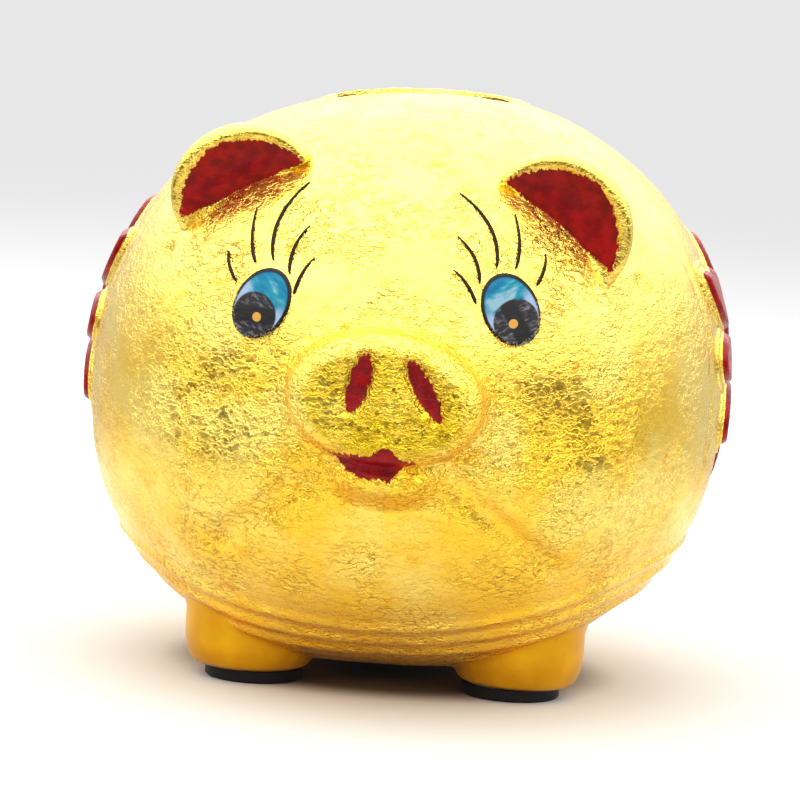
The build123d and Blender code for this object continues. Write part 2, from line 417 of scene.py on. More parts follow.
def slot_cutter():
    """A long rounded bar that cuts the coin slot, with its mouth eased open."""
    top, half_width = BODY_HIGH[2], SLOT_HALF_WIDTH
    profile = ((half_width, top - 12.0), (half_width, top - 1.6), (half_width + 0.35, top - 0.6),
               (half_width + 3.0, top + 3.0))
    half_turn = np.linspace(-math.pi / 2, math.pi / 2, 9)
    straight = SLOT_HALF_LENGTH - half_width
    ends = np.repeat((straight, -straight), len(half_turn))
    angles = np.concatenate([half_turn, half_turn + math.pi])
    return turned_solid("slot_cutter", profile, angles, ends, SLOT_Y)


def hole_cutter():
    """The stopper's hole and its flat seat, as one stepped plug."""
    seat = STOPPER_UNDERSIDE + 2.0
    hole, seat_radius, inside = 14.05, 18.3, 22.0
    profile = ((seat_radius + 1.3, -4.0), (seat_radius + 0.6, seat - 0.9), (seat_radius, seat),
               (hole + 0.5, seat), (hole, seat + 0.5), (hole, inside))
    return turned_solid("hole_cutter", profile, np.linspace(0.0, 2 * math.pi, 128, endpoint=False))


def cut(piece, cutter):
    """The piece with the cutter's volume taken out; the cutter is used up."""
    modifier = piece.modifiers.new("cut", "BOOLEAN")
    modifier.operation = "DIFFERENCE"
    modifier.solver = "MANIFOLD"
    modifier.object = cutter
    apply_modifiers(piece)
    bpy.data.objects.remove(cutter)


def apply_modifiers(piece):
    """The piece's modifiers worked into its mesh."""
    shaped = bpy.data.meshes.new_from_object(piece.evaluated_get(bpy.context.evaluated_depsgraph_get()))
    piece.modifiers.clear()
    piece.data = shaped


def body_shell():
    """The hollow, crinkled body with its slot and stopper hole."""
    outward, outer_faces = ball_grid(118)
    outer = cast_on(body_field, outward, HALF_WIDTH)
    outer = crinkled(outer, field_normal(body_field, outer))
    inward, inner_faces = ball_grid(36)
    inner = cast_on(lambda points: plain_body(points) + WALL, inward, HALF_WIDTH - WALL)
    points = np.concatenate([outer, inner])
    faces = np.concatenate([outer_faces, inner_faces[:, ::-1] + len(outer)])
    piece = make_piece("gold_body", points, faces)
    cut(piece, slot_cutter())
    cut(piece, hole_cutter())
    add_attribute(piece.data, "depth", -body_field(mesh_points(piece.data)))
    piece.data.shade_smooth()
    piece.data.set_sharp_from_angle(angle=math.radians(48))
    return piece


# -------- ears
def side_box(low, high, side, margin):
    """A box on the viewer's right, grown by a margin, or its mirror image when the side is -1."""
    low, high = low - margin, high + margin
    if side > 0:
        return low, high
    return np.array([-high[0], low[1], low[2]]), np.array([-low[0], high[1], high[2]])


class Ear:
    """One cupped ear, measured as if it stood on the viewer's right."""

    LEAN = -0.28          # forward part of the direction that the flap stands in
    MIDDLE = 14.0         # inner end of the root line to the flap's middle
    RIM = 0.6             # how far the rim stands outside the given size
    DEPTH = 11.0          # root line to the back of the dome
    FRONT = 2.8           # root line to the front of the rim
    DISH = 2.4            # depth of the painted hollow
    SUNK = 1.7            # how far the flap is set back into the head

    def __init__(self, side, inner_root, outer_root, size, painted):
        self.side = side
        root = np.array(inner_root)
        along = np.array(outer_root) - root
        along /= np.linalg.norm(along)
        up = np.array([-along[2], 0.0, along[0]])
        up = up / np.linalg.norm(up) + np.array([0.0, self.LEAN, 0.0])
        up -= along * (up @ along)
        up /= np.linalg.norm(up)
        self.axes = np.stack([along, up, np.cross(along, up)])      # along the root line, up, and out
        self.middle = root + along * self.MIDDLE - self.axes[2] * self.SUNK
        self.half_length, self.height = size
        self.painted_half_length, self.painted_height = painted

    def place(self, points):
        """Points as distances along the root line, up the flap, and out of the cup."""
        seen = points * np.array([self.side, 1.0, 1.0])
        return np.moveaxis((seen - self.middle) @ self.axes.T, -1, 0)

    def field(self, points):
        """Signed distance from the flap: domed behind, dished in front, with a rounded rim."""
        along, up, out = self.place(points)
        radii = (self.half_length + self.RIM, self.height + self.RIM, self.DEPTH)
        dome = ellipsoid(zipped(along, up, out), radii)
        rise = np.maximum(up - 0.3 * self.painted_height, 0.0) / (0.78 * self.painted_height)
        hollow = np.maximum(1.0 - (along / self.painted_half_length) ** 2 - rise ** 2, 0.0)
        lower_fold = 0.6 * bell(up - 3.2, 1.5) * bell(along, 9.0)
        face = out - self.FRONT + self.DISH * hollow ** 0.8 - lower_fold
        # Below the root line only what lies behind it is kept, as the flap's base
        foot = 0.1 - 0.03 * np.maximum(along - 8.0, 0.0) ** 2 - up
        foot = soft_min(foot, out - 0.2, 0.8)
        flap = soft_max(dome, face * 0.9, 2.4)
        return soft_max(flap, foot, 0.6)

    def paint(self, points):
        """Millimetres outside the red inside of the ear."""
        along, up, out = self.place(points)
        power = 1.6
        reach = (np.abs(along / self.painted_half_length) ** power
                 + np.maximum(up / self.painted_height, 0.0) ** power) ** (1 / power)
        sides = (reach - 1.0) * 0.8 * self.painted_height
        lower = 0.4 + 0.004 * along ** 2 * (along > 0) - up
        return np.maximum(np.maximum(sides, lower), -2.0 - out)


# Side, inner and outer end of the root line, half length and height of the flap, and of its red inside
EARS = {"left": Ear(-1, (24.3, -48.2, 119.6), (47.8, -45.0, 106.1), (16.3, 14.6), (15.6, 13.0)),
        "right": Ear(1, (22.9, -51.1, 118.2), (45.7, -52.4, 100.5), (16.4, 16.2), (15.6, 14.7))}


def ear(side_name, name):
    """One ear, luted to the head."""
    shape = EARS[side_name]
    low, high = side_box(EAR_LOW, EAR_HIGH, shape.side, margin=8.0)
    return luted_piece(name, shape.field, low, high, cell=0.62, blend=1.1, crinkle=0.5,
                       attributes={"paint": shape.paint})


# -------- snout
SNOUT_TURN = -4.0                        # degrees; the snout was luted on a little askew
# Each nostril's place across and up, its lean, and half size
NOSTRILS = ((-5.9, 3.4, 10.0, (2.3, 6.7)), (8.4, 3.5, -34.0, (2.1, 7.4)))
MOUTH_X, MOUTH_RISE, MOUTH_HALF_WIDTH = -1.6, -12.6, 10.5
LIP_MIDDLE = np.array([1.5, SNOUT_FRONT + 9.5, -17.6])   # across, plain Y and up


def snout_place(points):
    """Points as distances across and up the snout's face, and their plain Y."""
    across, up = turned(points[..., 0], points[..., 2] - SNOUT_Z, SNOUT_TURN)
    return across, up, points[..., 1]


def nostril_place(across, up, middle, rise, lean):
    """Distances across and along one leaning nostril."""
    return zipped(*turned(across - middle, up - rise, -lean))


def snout_field(points):
    """Signed distance from the oval snout, its nostrils, mouth groove and lower lip."""
    across, up, y = snout_place(points)
    rounding, bulge = 4.6, 1.1
    oval = ellipsoid(zipped(across, up), (SNOUT_HALF_WIDTH, SNOUT_HALF_HEIGHT))
    dome = bulge * (1 - (across / SNOUT_HALF_WIDTH) ** 2)
    ahead = SNOUT_FRONT + 0.9 - dome - y
    edge = np.hypot(np.maximum(oval + rounding, 0.0), np.maximum(ahead + rounding, 0.0))
    disc = edge + np.minimum(np.maximum(oval, ahead) + rounding, 0.0) - rounding
    lip = ellipsoid(zipped(across, y, up) - LIP_MIDDLE, (10.8, 7.2, 5.0))
    shape = soft_min(disc, lip, 1.8)
    for middle, rise, lean, half_size in NOSTRILS:
        aside, along = np.moveaxis(nostril_place(across, up, middle, rise, lean), -1, 0)
        dent = ellipsoid(zipped(aside, y - SNOUT_FRONT, along),
                         (half_size[0] + 0.5, 1.5, half_size[1] + 0.5))
        shape = soft_max(shape, -dent, 1.4)
    smile = up - MOUTH_RISE + 2.6 - 0.014 * (across - MOUTH_X) ** 2
    groove = ellipsoid(zipped(across - MOUTH_X, y - SNOUT_FRONT - 1.2, smile), (11.0, 2.4, 1.1))
    return soft_max(shape, -groove, 1.2)


def mouth_paint(across, up):
    """Millimetres outside the painted lips: a bow above, and a fuller lip with a drip below."""
    part = np.clip((across - MOUTH_X) / MOUTH_HALF_WIDTH, -1.0, 1.0)
    upper = MOUTH_RISE + 0.2 + 2.8 * bell(across - 1.8, 2.6)
    lower = MOUTH_RISE - 5.0 * (1 - part ** 2) ** 1.5 - 1.6 * bell(across - 3.2, 1.3)
    ends = np.abs(across - MOUTH_X) - MOUTH_HALF_WIDTH
    return np.maximum(np.maximum(up - upper, lower - up), ends)


def snout_paint(points):
    """Millimetres outside the red paint on the snout."""
    across, up, y = snout_place(points)
    marks = [mouth_paint(across, up)]
    for middle, rise, lean, half_size in NOSTRILS:
        marks.append(ellipsoid(nostril_place(across, up, middle, rise, lean), half_size))
    return np.where(y < SNOUT_FRONT + 9.0, np.minimum.reduce(marks), 5.0)


def snout_painted_shade(points):
    """Painted shade on the snout: 1 on its front, which is darkened, 0 round its sides."""
    across, up, y = snout_place(points)
    reach = np.hypot(across / SNOUT_HALF_WIDTH, (up + 1.0) / SNOUT_HALF_HEIGHT)
    return smooth_step(SNOUT_FRONT + 5.0, SNOUT_FRONT + 1.5, y) * smooth_step(1.0, 0.72, reach)


def snout():
    """The snout, flared into the face."""
    low = np.array([-31.0, SNOUT_FRONT - 3.0, SNOUT_Z - 28.0])
    high = np.array([31.0, SNOUT_FRONT + 24.0, SNOUT_Z + 23.0])
    # Besides its red paint, the snout carries a mask of painted shade on its front
    return luted_piece("snout_disc", snout_field, low, high, cell=0.6, blend=5.5, crinkle=0.55,
                       attributes={"paint": snout_paint, "wear_and_painted_shade": snout_painted_shade})


# -------- legs
def leg_field_at(foot_x, foot_y):
    """The field of one stub leg standing at a place on the floor."""
    radius, flat_radius, round_height = 15.2, 11.8, 8.0
    foot = LEG_LOW[2]

    def field(points):
        x, y, z = np.moveaxis(points, -1, 0)
        drop = np.clip((foot + round_height - z) / round_height, 0.0, 1.0)
        outline = flat_radius + (radius - flat_radius) * np.sqrt(1 - drop ** 2 * 0.98)
        side = np.hypot(x - foot_x, y - foot_y) - outline
        return soft_max(soft_max(side, foot - z, 1.4), z - LEG_HIGH[2] - 4.0, 2.0)

    return field


def leg(side, end, name):
    """One leg, tucked up under the belly's ridges."""
    low, high = (REAR_LEG_LOW, REAR_LEG_HIGH) if end > 0 else (LEG_LOW, LEG_HIGH)
    foot_x, foot_y = side * (low[0] + high[0]) / 2, (low[1] + high[1]) / 2
    reach = 20.0
    low = np.array([foot_x - reach, foot_y - reach, LEG_LOW[2] - 2.0])
    high = np.array([foot_x + reach, foot_y + reach, LEG_HIGH[2] + 8.0])
    return luted_piece(name, leg_field_at(foot_x, foot_y), low, high, cell=0.75, blend=1.6, crinkle=0.12)


# -------- tail
def tail_path(count=26):
    """Points along the curl, from its root in the rump to its tip, with a radius at each."""
    root_y = TAIL_LOW[1] + 0.5
    middle = (TAIL_LOW + TAIL_HIGH) / 2
    part = np.linspace(0.0, 1.0, count)
    start, sweep = math.radians(250), math.radians(470)
    angle = start - part * sweep
    spread = 2.0 + 4.8 * np.minimum(part * 2.2, 1.0)
    x = middle[0] + spread * np.cos(angle)
    z = middle[2] + spread * np.sin(angle)
    y = root_y + (TAIL_HIGH[1] - 3.0 - root_y) * smooth_step(0.0, 0.55, part)
    radius = 3.5 - 1.2 * part
    return zipped(x, y, z), radius


def tail_field(points):
    """Signed distance from the curly tail."""
    path, radius = tail_path()
    value = capsule(points, path[0], path[1], radius[0], radius[1])
    for k in range(1, len(path) - 1):
        value = np.minimum(value, capsule(points, path[k], path[k + 1], radius[k], radius[k + 1]))
    return value


def tail():
    """The curly tail on the rump."""
    margin = 6.0
    return luted_piece("curly_tail", tail_field, TAIL_LOW - margin, TAIL_HIGH + margin,
                       cell=0.6, blend=3.0, crinkle=0.7)


# -------- flank flowers
FLOWER_PROUD = 2.2                       # the red petals' height over the body
PLATE_PROUD = 0.5                        # the gold plate's height under and round them


def petal_ring(y, z, count, reach, half_length, half_width, start):
    """Signed distance from a ring of oval petals about the flower's heart."""
    sector = 2 * math.pi / count
    angle = np.arctan2(z, y) - math.radians(start)
    angle = (angle + sector / 2) % sector - sector / 2
    radius = np.hypot(y, z)
    place = zipped(radius * np.cos(angle) - reach, radius * np.sin(angle))
    return ellipsoid(place, (half_length, half_width))


def leaf_shape(y, z, degrees):
    """Signed distance from one pointed leaf."""
    along, across = turned(y, z, degrees)
    bend, half_width = 15.7, 5.6
    return np.hypot(along - 24.0, np.abs(across) + bend - half_width) - bend


def flower_height(points):
    """The relief's height over the body at each point, below zero outside the flower."""
    y, z = points[..., 1] - FLOWER_Y, points[..., 2] - FLOWER_Z
    radius = np.hypot(y, z)
    outer = petal_ring(y, z, count=8, reach=18.6, half_length=9.2, half_width=6.3, start=0.0)
    inner = petal_ring(y, z, count=6, reach=8.4, half_length=4.9, half_width=3.9, start=15.0)
    leaves = [leaf_shape(y, z, degrees) for degrees in (35.0, 145.0, 270.0)]
    tops = np.minimum.reduce([outer, inner, radius - 3.2] + leaves)
    plate = np.minimum(tops, radius - 17.0) - 1.3
    height = PLATE_PROUD + (FLOWER_PROUD - PLATE_PROUD) * smooth_step(0.2, -1.7, tops)
    # A groove runs along the middle of each outer petal
    off_middle = (np.arctan2(z, y) * 4 / math.pi + 0.5) % 1 - 0.5
    vein = np.exp(-off_middle ** 2 * radius ** 2 * 0.35) * (outer < 0)
    height -= 0.45 * vein * smooth_step(14.0, 18.0, radius) * smooth_step(26.0, 22.0, radius)
    return np.where(plate > 0, PLATE_PROUD - 2.5 * np.minimum(plate, 1.0), height)


def flower(side, name):
    """The raised flower on one flank."""
    def field(points):
        body = body_field(points)
        return soft_max((body - flower_height(points)) * 0.8, -body - 1.5, 0.4)

    low, high = side_box(FLOWER_LOW, FLOWER_HIGH, side, margin=4.0)
    points, faces = surface_net(field, low, high, cell=0.62)
    below_red = 1.05 - body_field(points)
    points = crinkled(points, field_normal(field, points), 0.35)
    return make_piece(name, points, faces, {"paint": below_red})


# -------- eyes
EYE_HALF_WIDTH = 5.9
EYE_HALF_HEIGHT = 8.2
EYE_LEAN = 31.0
EYE_PROUD = 0.38                         # the film's height over the body, above most crinkles
LASH_PROUD = 0.36
LASH_WIDTH = 0.68
# Each lash's root, middle and tip from the eye's centre, towards the nose and up
LASHES = (((-6.3, 3.9), (-8.4, 7.1), (-9.0, 10.1)), ((-2.4, 8.4), (-3.8, 13.5), (-3.6, 19.5)),
          ((1.7, 9.3), (2.0, 17.9), (7.8, 26.1)), ((5.7, 6.9), (6.2, 12.4), (9.2, 17.3)),
          ((7.1, 2.7), (8.6, 7.3), (11.0, 10.7)))
# Side, centre (X and Z), and how far the lashes are turned towards the nose
EYES = {"left": (-1, (-29.2, 90.7), 0.0), "right": (1, (25.6, 93.2), 13.0)}


def on_face(x, z, proud):
    """Points on the front of the body at the given places, standing slightly proud."""
    y = np.full(len(x), -HALF_LENGTH)
    for _ in range(14):
        points = zipped(x, y, z)
        slope = np.maximum(-field_normal(plain_body, points)[:, 1], 0.35)
        y = y + (body_field(points) - proud) / slope
    points = zipped(x, y, z)
    return points + field_normal(body_field, points) * clay_swell(points)[:, None]


def eye_patch(side, centre, rings=12, spokes=64):
    """The oval film's points, faces, and each point's place in the printed picture."""
    turn = np.linspace(0, 2 * math.pi, spokes, endpoint=False)
    radius, angle = np.meshgrid(np.linspace(0.02, 1.0, rings), turn, indexing="ij")
    across = EYE_HALF_WIDTH * (radius * np.cos(angle)).ravel()
    up = EYE_HALF_HEIGHT * (radius * np.sin(angle)).ravel()
    x, z = turned(across, up, side * -EYE_LEAN)
    points = on_face(centre[0] + x, centre[1] + z, EYE_PROUD)
    faces = [tuple(reversed(range(spokes)))] + ring_faces(rings, spokes)
    # Which eye it is goes with the picture: 0 left, 1 right
    picture = zipped(-side * across, up, np.full(len(x), 0.5 + 0.5 * side))
    return points, [face[::-1] for face in faces], picture


def lash_patch(side, centre, turn, stroke, steps=18):
    """One lash as a tapering ribbon along a smooth curve through its root, middle and tip."""
    root, middle, tip = (np.array(spot) for spot in stroke)
    part = np.linspace(0.0, 1.0, steps)[:, None]
    control = 2 * middle - (root + tip) / 2
    line = (1 - part) ** 2 * root + 2 * part * (1 - part) * control + part ** 2 * tip
    heading = np.gradient(line, axis=0)
    heading /= np.linalg.norm(heading, axis=1, keepdims=True)
    beside = zipped(-heading[:, 1], heading[:, 0])
    # Rounded over the first part of its length, and tapering over the last
    rounded, tapered = 0.16, 0.7
    half = LASH_WIDTH / 2 * np.sqrt(np.clip(1.02 - (1 - part / rounded) ** 2 * (part < rounded), 0.1, 1.0))
    half = half * (1 - 0.82 * np.clip((part - 1 + tapered) / tapered, 0.0, 1.0) ** 1.4)
    outline = np.concatenate([line - beside * half, line + beside * half])
    toward_nose, up = turned(outline[:, 0], outline[:, 1], turn)
    points = on_face(centre[0] - side * toward_nose, centre[1] + up, LASH_PROUD)
    faces = [(k, steps + k, steps + k + 1, k + 1) for k in range(steps - 1)]
    return points, faces if side > 0 else [face[::-1] for face in faces]


def eye(side_name, name):
    """An eye film and its lashes, printed on one sheet."""
    side, centre, turn = EYES[side_name]
    points, faces, picture = eye_patch(side, centre)
    ink = [0] * len(faces)
    all_points, all_pictures, count = [points], [picture], len(points)
    for stroke in LASHES:
        lash_points, lash_faces = lash_patch(side, centre, turn, stroke)
        all_points.append(lash_points)
        all_pictures.append(np.zeros((len(lash_points), 3)))
        faces += [tuple(index + count for index in face) for face in lash_faces]
        ink += [1] * len(lash_faces)
        count += len(lash_points)
    piece = make_piece(name, np.concatenate(all_points), faces, {"picture": np.concatenate(all_pictures)})
    piece.data.polygons.foreach_set("material_index", ink)
    film = piece.modifiers.new("film", "SOLIDIFY")
    film.thickness = 0.5 * MM
    film.offset = -1.0
    return piece


# -------- materials
class Nodes:
    """A node tree under construction. Its methods add nodes and return a socket."""

    def __init__(self, tree):
        self.tree = tree

    def output(self, kind, socket, **settings):
        """A new node's output; settings are its properties."""
        node = self.tree.nodes.new(kind)
        for key, value in settings.items():
            setattr(node, key, value)
        return node.outputs[socket]

    def feed(self, socket, value):
        """A link or a plain value put into an input."""
        if isinstance(value, bpy.types.NodeSocket):
            self.tree.links.new(value, socket)
        else:
            socket.default_value = value

    def join(self, kind, values, socket=0, **settings):
        """A new node's output, with values put into its first inputs in order."""
        out = self.output(kind, socket, **settings)
        for place, value in zip(out.node.inputs, values):
            self.feed(place, value)
        return out

    def scaled(self, vector, factors):
        """A vector with its axes scaled."""
        return self.join("ShaderNodeVectorMath", (vector, factors), operation="MULTIPLY")

    def sum(self, first, second):
        """Two vectors added."""
        return self.join("ShaderNodeVectorMath", (first, second), operation="ADD")

    def length(self, vector):
        """A vector's length."""
        return self.join("ShaderNodeVectorMath", (vector,), "Value", operation="LENGTH")

    def split(self, vector):
        """A vector's X, Y and Z."""
        return self.join("ShaderNodeSeparateXYZ", (vector,)).node.outputs

    def calc(self, operation, *numbers):
        """Arithmetic on one or two numbers."""
        return self.join("ShaderNodeMath", numbers, operation=operation)

    def times(self, first, second):
        """Two numbers multiplied."""
        return self.calc("MULTIPLY", first, second)

    def plus(self, first, second):
        """Two numbers added."""
        return self.calc("ADD", first, second)

    def minus(self, first, second):
        """The second number taken from the first."""
        return self.calc("SUBTRACT", first, second)

    def ramp(self, value, low, high, to_low=0.0, to_high=1.0):
        """A number carried smoothly from one range to another, and held at its ends."""
        return self.join("ShaderNodeMapRange", (value, low, high, to_low, to_high),
                         interpolation_type="SMOOTHSTEP")

    def between(self, factor, first, second):
        """Two numbers mixed: first at factor 0, second at 1."""
        out = self.output("ShaderNodeMix", 0)
        for place, value in zip((0, 2, 3), (factor, first, second)):
            self.feed(out.node.inputs[place], value)
        return out

    def mix(self, factor, first, second):
        """Two colours mixed: first at factor 0, second at 1."""
        out = self.output("ShaderNodeMix", 2, data_type="RGBA")
        for place, value in zip((0, 6, 7), (factor, first, second)):
            self.feed(out.node.inputs[place], value)
        return out

    def fade(self, value, low, high, first, second, most=1.0):
        """One colour turning into another, or mostly so, as a value passes from low to high."""
        return self.mix(self.ramp(value, low, high, 0.0, most), first, second)


class Recipe(Nodes):
    """A surface material under construction, measured in millimetres."""

    def __init__(self, name):
        self.material = bpy.data.materials.new(name)
        self.material.use_nodes = True
        super().__init__(self.material.node_tree)
        self.surface = self.tree.nodes["Principled BSDF"]
        self.place = self.scaled(self.output("ShaderNodeTexCoord", "Object"), (1 / MM,) * 3)

    def noise(self, scale, detail=3.0, roughness=0.5, at=None, socket=0):
        """Cloudy noise from 0 to 1, with so many features to a millimetre."""
        out = self.output("ShaderNodeTexNoise", socket)
        place = self.place if at is None else at
        settings = {"Vector": place, "Scale": scale, "Detail": detail, "Roughness": roughness}
        for key, value in settings.items():
            self.feed(out.node.inputs[key], value)
        return out

    def attribute(self, name, socket="Fac"):
        """A number or vector stored at the mesh's vertices."""
        return self.output("ShaderNodeAttribute", socket, attribute_name=name)

    def bump(self, height, distance, strength):
        """A surface normal from a height; distance is in millimetres."""
        out = self.output("ShaderNodeBump", 0)
        settings = {"Height": height, "Distance": distance * MM, "Strength": strength}
        for key, value in settings.items():
            self.feed(out.node.inputs[key], value)
        return out

    def finish(self, **inputs):
        """The surface's inputs, by name with underscores for spaces."""
        for key, value in inputs.items():
            self.feed(self.surface.inputs[key.replace("_", " ")], value)
        return self.material


def rgb(red, green, blue):
    """A colour from linear components."""
    return (red, green, blue, 1.0)


GOLD_PALE = rgb(1.0, 0.74, 0.15)
GOLD_MID = rgb(1.0, 0.62, 0.045)
GOLD_DEEP = rgb(0.88, 0.45, 0.015)
GOLD_CRACK = rgb(0.36, 0.20, 0.003)
# Darker gold for the painted shade on the snout's front
GOLD_PAINTED_SHADE = rgb(0.62, 0.42, 0.01)
ENAMEL_RED = rgb(0.45, 0.006, 0.008)
ENAMEL_DARK = rgb(0.24, 0.003, 0.006)
BISQUE = rgb(0.74, 0.70, 0.62)
SIZE_BROWN = rgb(0.16, 0.08, 0.02)
EYE_BLACK = rgb(0.004, 0.003, 0.003)


def gold_surface(recipe, calm, wild):
    """Crinkled gold leaf, calm or wild by patches: its colour, roughness and height sockets."""
    place = recipe.place
    across, _, rise = recipe.split(place)
    drift = recipe.sum(recipe.noise(0.35, 2.0, socket=1), (-0.5, -0.5, -0.5))
    bent = recipe.scaled(recipe.sum(place, recipe.scaled(drift, (2.4, 2.4, 2.4))), (0.45, 0.45, 0.9))
    folds = recipe.calc("ABSOLUTE", recipe.minus(recipe.noise(0.58, 3.0, 0.6, at=bent), 0.5))
    crease = recipe.ramp(folds, 0.0, 0.08)
    grain = recipe.noise(1.0, 3.0, 0.6, at=bent)
    # The crinkle is calmer on the flanks
    patch = recipe.ramp(recipe.noise(0.06, 3.0), 0.42, 0.60, calm, wild)
    patch = recipe.times(patch, recipe.ramp(recipe.calc("ABSOLUTE", across), 44.0, 60.0, 1.0, 0.4))
    # The leaf is paler in clouds and deeper in stains; it is also paler towards the crown, a painted
    # highlight, and deeper at the belly, a painted shade
    pale = recipe.calc("MAXIMUM", recipe.ramp(recipe.noise(0.05, 3.0), 0.36, 0.66),
                       recipe.ramp(rise, 62.0, 96.0, 0.0, 0.8))
    colour = recipe.mix(pale, GOLD_MID, GOLD_PALE)
    colour = recipe.fade(recipe.noise(0.19, 4.0, 0.6), 0.56, 0.74, colour, GOLD_DEEP, 0.7)
    # Dark dashes where a crease has cracked the leaf
    dash = recipe.times(recipe.ramp(crease, 0.5, 0.0), recipe.ramp(grain, 0.44, 0.60))
    colour = recipe.mix(recipe.times(dash, recipe.times(patch, 0.7)), colour, GOLD_CRACK)
    # Painted shade: the gold deepens towards the belly
    colour = recipe.fade(rise, 30.0, 10.0, colour, GOLD_DEEP, 0.8)
    rough = recipe.ramp(grain, 0.3, 0.7, 0.20, 0.32)
    height = recipe.plus(recipe.times(crease, 0.55), grain)
    return colour, rough, recipe.times(recipe.minus(height, 1.0), patch)


def gold_leaf():
    """Gold leaf outside; behind a cut edge comes the brown size under it, then bare fired clay."""
    recipe = Recipe("gold_leaf")
    colour, rough, height = gold_surface(recipe, 0.22, 1.0)
    depth = recipe.attribute("depth")
    ragged = recipe.times(recipe.noise(0.8, 3.0), 0.6)
    inside = recipe.ramp(recipe.minus(depth, ragged), 0.2, 0.6)
    colour = recipe.mix(inside, colour, recipe.fade(depth, 1.5, 4.0, SIZE_BROWN, BISQUE))
    rough = recipe.calc("MAXIMUM", rough, recipe.times(inside, 0.85))
    return recipe.finish(Base_Color=colour, Metallic=recipe.minus(1.0, inside), Roughness=rough,
                         Normal=recipe.bump(height, 0.52, 1.0), Coat_Weight=0.15, Coat_Roughness=0.35)


def painted_gold(name, ragged_edge, gloss, calm, wild):
    """Gold leaf with red enamel inside the painted outline; the brush left a ragged edge."""
    recipe = Recipe(name)
    colour, rough, height = gold_surface(recipe, calm, wild)
    # Painted shade: the snout's front turns a darker gold, unevenly
    painted_front_shade = recipe.plus(recipe.noise(0.12, 3.0), recipe.attribute("wear_and_painted_shade"))
    colour = recipe.fade(painted_front_shade, 0.9, 1.7, colour, GOLD_PAINTED_SHADE, 0.9)
    streaks = recipe.noise(1.1, 4.0, 0.65, at=recipe.scaled(recipe.place, (1.0, 1.0, 0.45)))
    ragged = recipe.times(recipe.minus(streaks, 0.5), ragged_edge)
    red = recipe.ramp(recipe.plus(recipe.attribute("paint"), ragged), 0.10, -0.10)
    bare = recipe.minus(1.0, red)
    enamel = recipe.fade(recipe.noise(0.35, 4.0), 0.35, 0.7, ENAMEL_DARK, ENAMEL_RED)
    colour = recipe.mix(red, colour, enamel)
    rough = recipe.plus(recipe.times(rough, bare), recipe.times(red, gloss))
    # Enamel fills the crinkle by two thirds and stands a little proud
    height = recipe.plus(recipe.times(height, recipe.minus(1.0, recipe.times(red, 0.65))),
                         recipe.times(red, 0.35))
    return recipe.finish(Base_Color=colour, Metallic=bare, Roughness=rough,
                         Normal=recipe.bump(height, 0.52, 1.0), Specular_IOR_Level=0.2)


def amber_lustre():
    """Smooth amber paint with a soft metallic sheen, brushed a little unevenly."""
    recipe = Recipe("amber_lustre")
    cloud = recipe.noise(0.10, 3.0)
    colour = recipe.fade(cloud, 0.30, 0.75, rgb(0.60, 0.27, 0.0), rgb(0.76, 0.39, 0.001))
    colour = recipe.fade(recipe.noise(0.9, 2.0), 0.70, 0.78, colour, GOLD_CRACK, 0.6)
    height = recipe.noise(0.8, 3.0)
    return recipe.finish(Base_Color=colour, Metallic=0.8, Roughness=recipe.ramp(cloud, 0.3, 0.7, 0.30, 0.42),
                         Normal=recipe.bump(height, 0.08, 0.6), Coat_Weight=0.05, Coat_Roughness=0.3)


def black_rubber(name, grain_size):
    """Matt black rubber with a fine moulded grain and a little dust."""
    recipe = Recipe(name)
    dust = recipe.ramp(recipe.noise(0.25, 5.0), 0.5, 0.8)
    colour = recipe.mix(dust, rgb(0.003, 0.003, 0.003), rgb(0.012, 0.011, 0.010))
    grain = recipe.noise(1 / grain_size, 2.0)
    return recipe.finish(Base_Color=colour, Roughness=recipe.ramp(dust, 0.0, 1.0, 0.55, 0.8),
                         Normal=recipe.bump(grain, 0.06, 0.7), Specular_IOR_Level=0.2)


def adhesive():
    """Milky double-sided film."""
    recipe = Recipe("adhesive_film")
    cloud = recipe.noise(0.6, 3.0)
    colour = recipe.mix(cloud, rgb(0.60, 0.60, 0.56), rgb(0.78, 0.78, 0.74))
    return recipe.finish(Base_Color=colour, Roughness=recipe.ramp(cloud, 0.3, 0.7, 0.4, 0.6))


PUPIL_X, PUPIL_Y, PUPIL_RADIUS = 0.2, -2.9, 4.9     # from the eye's middle, towards the nose and up
INNER_EYE = (EYE_HALF_WIDTH - 0.6, EYE_HALF_HEIGHT - 0.62)     # half size inside the black rim


def eye_iris(recipe, picture, across, up):
    """The iris colour: blue with pale brushed streaks, and light at its lower sides."""
    streak = recipe.noise(0.45, 3.0, 0.55, at=recipe.scaled(picture, (0.35, 0.8, 1.0)))
    blue = recipe.fade(streak, 0.36, 0.58, rgb(0.004, 0.17, 0.38), rgb(0.012, 0.34, 0.46))
    blue = recipe.fade(streak, 0.52, 0.66, blue, rgb(0.38, 0.60, 0.70), 0.85)
    sides = recipe.ramp(recipe.calc("ABSOLUTE", across), 3.0, 4.2)
    return recipe.mix(recipe.times(sides, recipe.ramp(up, 3.0, 0.0)), blue, rgb(0.42, 0.58, 0.82))


def eye_pupil(recipe, picture, across, up, right_eye):
    """The pupil colour: grey brushed glints on both sides of a black band."""
    brush = recipe.noise(0.9, 4.0, 0.65, at=recipe.scaled(picture, (0.5, 1.3, 1.0)))
    grey = recipe.fade(brush, 0.46, 0.70, rgb(0.012, 0.012, 0.014), rgb(0.22, 0.21, 0.24))
    # The band stands upright in the right eye and lies over in the left one
    beside = recipe.minus(across, PUPIL_X)
    above = recipe.plus(recipe.times(beside, -0.5), recipe.times(recipe.minus(up, PUPIL_Y), 0.86))
    off_band = recipe.calc("ABSOLUTE", recipe.between(right_eye, above, beside))
    return recipe.fade(off_band, 1.4, 2.2, EYE_BLACK, grey)


